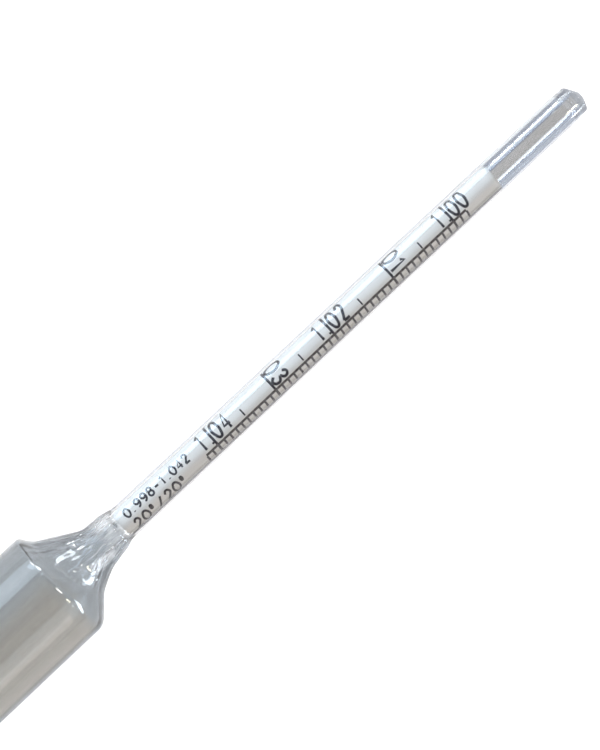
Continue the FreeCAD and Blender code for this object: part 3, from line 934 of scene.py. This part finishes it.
def roll_up(bm):
    """Cuts the flat print into narrow strips and lays it round the roll, facing outward."""
    slices = 90
    reach = math.radians(120) * PRINT_RADIUS
    for number in range(1, slices):
        level = -reach + 2 * reach * number / slices
        bmesh.ops.bisect_plane(
            bm, geom=bm.verts[:] + bm.edges[:] + bm.faces[:], plane_co=(0, level, 0), plane_no=(0, 1, 0)
        )
    lift = sizes().ink_lift
    for vert in bm.verts:
        vert.co = round_the_roll(vert.co.x, math.pi - vert.co.y / PRINT_RADIUS, lift)
    for face in bm.faces:
        outward = face.calc_center_median() - AXIS
        outward.x = 0
        if face.normal.dot(outward) < 0:
            face.normal_flip()


def make_print():
    """The printed scale: a long line with a comb of divisions, its numbers and two notes."""
    bm = bmesh.new()
    draw_lines(bm)
    draw_numbers(bm)
    draw_notes(bm)
    roll_up(bm)
    bmesh.ops.solidify(bm, geom=bm.faces[:], thickness=-sizes().ink_thickness)
    new_piece("printed_scale", bm, ink_finish(), "scale_paper")


def islands(mesh):
    """The loose parts of a CAD mesh, as lists of points."""
    bm = bmesh.new()
    bm.from_mesh(mesh)
    bmesh.ops.remove_doubles(bm, verts=bm.verts, dist=1e-6)
    waiting = set(bm.verts)
    found = []
    while waiting:
        front = [waiting.pop()]
        part = []
        while front:
            vert = front.pop()
            part.append(vert.co.copy())
            for edge in vert.link_edges:
                other = edge.other_vert(vert)
                if other in waiting:
                    waiting.remove(other)
                    front.append(other)
        found.append(part)
    bm.free()
    return found


def shot_places():
    """The middle and radius of each pellet, from the solids."""
    places = []
    for part in islands(frame["nodes"]["ballast_shot"].data):
        low = Vector([min(point[axis] for point in part) for axis in range(3)])
        high = Vector([max(point[axis] for point in part) for axis in range(3)])
        places.append(((low + high) / 2, max(high - low) / 2))
    return places


def make_shot():
    """The steel shot, each pellet where its solid lies."""
    bm = bmesh.new()
    for middle, radius in shot_places():
        bmesh.ops.create_icosphere(bm, subdivisions=3, radius=radius, matrix=Matrix.Translation(middle))
    new_piece("steel_pellets", bm, steel_finish(), "steel_shot", "ballast_shot")


def dress_wax():
    """The wax keeps its solid's form and gets its finish."""
    node = frame["nodes"]["wax_plug"]
    node.data.materials.clear()
    node.data.materials.append(wax_finish())


FOCAL_PIXELS = 1650.0
SENSOR_WIDTH = 36.0
IMAGE_WIDTH, IMAGE_HEIGHT = 600, 750
AIM = Vector((GLASS_LOW.x + 158.25 * MM, -2.06 * MM, 9.5 * MM))
DISTANCE = 259.5 * MM
STEM_SLOPE = math.radians(43.24)
TILT = 0.08


def make_camera():
    """Looks down on the lactometer, nearer to the bulb, with the stem rising to the right."""
    back = Vector((-math.sin(TILT), 0, math.cos(TILT)))
    tipward = Vector((math.cos(TILT), 0, math.sin(TILT)))
    sideways = Vector((0, 1, 0))
    right = tipward * math.cos(STEM_SLOPE) - sideways * math.sin(STEM_SLOPE)
    up = tipward * math.sin(STEM_SLOPE) + sideways * math.cos(STEM_SLOPE)
    data = bpy.data.cameras.new("photo_camera")
    data.sensor_width = SENSOR_WIDTH
    data.lens = FOCAL_PIXELS / max(IMAGE_WIDTH, IMAGE_HEIGHT) * SENSOR_WIDTH
    data.clip_start = 0.01
    camera = bpy.data.objects.new("photo_camera", data)
    turned = Matrix((right, up, back)).transposed().to_4x4()
    camera.matrix_world = Matrix.Translation(AIM + back * DISTANCE) @ turned
    bpy.context.scene.collection.objects.link(camera)
    bpy.context.scene.camera = camera


def add_lamp(name, place, size, power, tint, lights=True):
    """A rectangular soft box that faces the stem's foot, its first size along the stem.

    One that doesn't light shows only as a reflection in the glass and the steel.
    """
    data = bpy.data.lights.new(name, "AREA")
    data.shape = "RECTANGLE"
    data.size, data.size_y = size
    data.energy = power
    data.color = tint
    lamp = bpy.data.objects.new(name, data)
    back = (Vector(place) - AXIS).normalized()
    along = Vector((1, 0, 0))
    up = back.cross(along).normalized()
    along = up.cross(back).normalized()
    turned = Matrix((along, up, back)).transposed().to_4x4()
    lamp.matrix_world = Matrix.Translation(place) @ turned
    lamp.visible_diffuse = lights
    bpy.context.scene.collection.objects.link(lamp)


def seen_directly(finish):
    """1 for rays from the camera, and for what glass and metal show."""
    camera = finish.add("LightPath", output="Is Camera Ray")
    glossy = finish.add("LightPath", output="Is Glossy Ray")
    through = finish.add("LightPath", output="Is Transmission Ray")
    return camera | glossy | through


def make_floor():
    """A plain floor that looks white, with a stronger glow where the lamps don't reach."""
    half_width = 1.5
    bm = bmesh.new()
    bmesh.ops.create_grid(bm, x_segments=1, y_segments=1, size=half_width)
    mesh = bpy.data.meshes.new("studio_floor")
    bm.to_mesh(mesh)
    bm.free()
    floor = bpy.data.objects.new("studio_floor", mesh)
    bpy.context.scene.collection.objects.link(floor)
    finish = new_material("studio_floor")
    matt = finish.add("BsdfDiffuse", inputs={"Color": opaque(colours().floor)})
    distance = finish.add("VectorMath", {"operation": "LENGTH"}, {0: finish.place()}, output="Value")
    far_off = finish.ramp(distance, 0.3, 1.2)
    share = seen_directly(finish) * (0.48 + far_off * 0.20)
    glow = finish.add("Emission", inputs={"Color": finish.mix(share, (0, 0, 0), (1, 1, 1))})
    mesh.materials.append(finish.surface(finish.add("AddShader", inputs={0: matt, 1: glow})))


def make_world():
    """Soft warm light from all round, seen as a white backdrop that greys towards the zenith."""
    world = bpy.data.worlds.new("studio")
    bpy.context.scene.world = world
    finish = Finish(world)
    direction = finish.add("TexCoord", output="Generated")
    height = finish.add("SeparateXYZ", inputs={0: direction}, output="Z")
    mirrored = finish.add("LightPath", output="Is Glossy Ray")
    overhead = finish.ramp(height, 0.3, 0.8) * mirrored
    backdrop = finish.mix(overhead, (1.0, 1.0, 1.0), colours().zenith)
    light = finish.mix(seen_directly(finish), colours().room, backdrop)
    finish.add("OutputWorld", inputs={"Surface": finish.add("Background", inputs={"Color": light})})


def make_lamps():
    """A cool soft box beyond the stem, a dim warm one on the near side, and bright reflections."""
    daylight = (0.86, 0.94, 1.0)
    spark = (1.0, 0.98, 0.94)
    lamps = (
        ("cool_soft_box", (0.0, 0.52, 0.33), (0.9, 0.40), 3.4, (0.72, 0.87, 1.0)),
        ("top_fill", (-0.1, 0.12, 0.62), (0.8, 0.5), 0.7, (0.85, 0.93, 1.0)),
        ("warm_fill", (0.0, -0.45, 0.42), (0.7, 0.22), 0.2, (1.0, 0.82, 0.66)),
    )
    reflections = (
        ("stem_strip", (0.08, 0.52, 0.33), (0.28, 0.12), 0.5, (0.6, 0.8, 1.0)),
        ("tip_strip", (0.26, 0.60, 0.13), (0.20, 0.04), 0.2, (0.9, 0.97, 1.0)),
        ("near_strip", (0.275, -0.466, 0.378), (0.07, 0.05), 0.12, (0.95, 0.98, 1.0)),
        ("warm_strip", (-0.30, -0.57, 0.245), (0.5, 0.2), 0.5, (1.0, 0.95, 0.88)),
        ("far_window", (0.48, 0.43, 0.26), (0.24, 0.20), 3.0, daylight),
        ("corner_window", (0.38, -0.58, 0.075), (0.12, 0.09), 0.9, daylight),
        ("side_window", (0.47, -0.42, 0.08), (0.3, 0.18), 3.4, daylight),
        ("gold_spark", (0.35, -0.38, 0.48), (0.06, 0.12), 0.8, (1.0, 0.95, 0.72)),
        ("spark_0", (0.293, 0.58, 0.256), (0.08, 0.08), 0.7, spark),
        ("spark_1", (0.49, -0.10, 0.49), (0.08, 0.08), 0.7, spark),
        ("spark_2", (0.586, 0.351, 0.151), (0.08, 0.08), 0.7, spark),
    )
    for lamp in lamps:
        add_lamp(*lamp)
    for reflection in reflections:
        add_lamp(*reflection, lights=False)


class LACTOMETER_OT_glass(bpy.types.Operator):
    """Blow the glass body with its sealed hollow"""

    bl_idname = "lactometer.glass"
    bl_label = "Glass Body"

    def execute(self, context):
        make_glass()
        return {"FINISHED"}


class LACTOMETER_OT_paper(bpy.types.Operator):
    """Roll the scale paper inside the stem"""

    bl_idname = "lactometer.paper"
    bl_label = "Scale Paper"

    def execute(self, context):
        make_paper()
        return {"FINISHED"}


class LACTOMETER_OT_print(bpy.types.Operator):
    """Print the divisions and numbers on the paper"""

    bl_idname = "lactometer.scale_print"
    bl_label = "Printed Scale"

    def execute(self, context):
        make_print()
        return {"FINISHED"}


class LACTOMETER_OT_shot(bpy.types.Operator):
    """Fill the bulb's end with steel shot"""

    bl_idname = "lactometer.shot"
    bl_label = "Steel Shot"

    def execute(self, context):
        make_shot()
        return {"FINISHED"}


class LACTOMETER_OT_wax(bpy.types.Operator):
    """Finish the wax that holds the shot"""

    bl_idname = "lactometer.wax"
    bl_label = "Wax Plug"

    def execute(self, context):
        dress_wax()
        return {"FINISHED"}


class LACTOMETER_OT_stage(bpy.types.Operator):
    """Set up the floor, the light and the camera"""

    bl_idname = "lactometer.stage"
    bl_label = "Studio Stage"

    def execute(self, context):
        make_floor()
        make_world()
        make_lamps()
        make_camera()
        context.scene.view_settings.view_transform = "Standard"
        return {"FINISHED"}


OPERATORS = (
    LACTOMETER_OT_glass,
    LACTOMETER_OT_paper,
    LACTOMETER_OT_print,
    LACTOMETER_OT_shot,
    LACTOMETER_OT_wax,
    LACTOMETER_OT_stage,
)


class VIEW3D_PT_lactometer(bpy.types.Panel):
    """Builds each piece of the lactometer and shows its sizes and colours"""

    bl_label = "Lactometer"
    bl_idname = "VIEW3D_PT_lactometer"
    bl_space_type = "VIEW_3D"
    bl_region_type = "UI"
    bl_category = "Lactometer"

    def draw(self, context):
        for operator in OPERATORS:
            self.layout.operator(operator.bl_idname)
        for group in (context.scene.lactometer_sizes, context.scene.lactometer_colours):
            box = self.layout.box()
            for name in group.__annotations__:
                box.prop(group, name)


CLASSES = (LactometerSizes, LactometerColours, *OPERATORS, VIEW3D_PT_lactometer)


def register():
    for cls in CLASSES:
        bpy.utils.register_class(cls)
    bpy.types.Scene.lactometer_sizes = PointerProperty(type=LactometerSizes)
    bpy.types.Scene.lactometer_colours = PointerProperty(type=LactometerColours)


def unregister():
    del bpy.types.Scene.lactometer_colours
    del bpy.types.Scene.lactometer_sizes
    for cls in reversed(CLASSES):
        bpy.utils.unregister_class(cls)


def main():
    """Registers the add-on and builds every piece in order."""
    register()
    bpy.ops.lactometer.glass()
    bpy.ops.lactometer.paper()
    bpy.ops.lactometer.scale_print()
    bpy.ops.lactometer.shot()
    bpy.ops.lactometer.wax()
    bpy.ops.lactometer.stage()


if __name__ == "__main__":
    main()
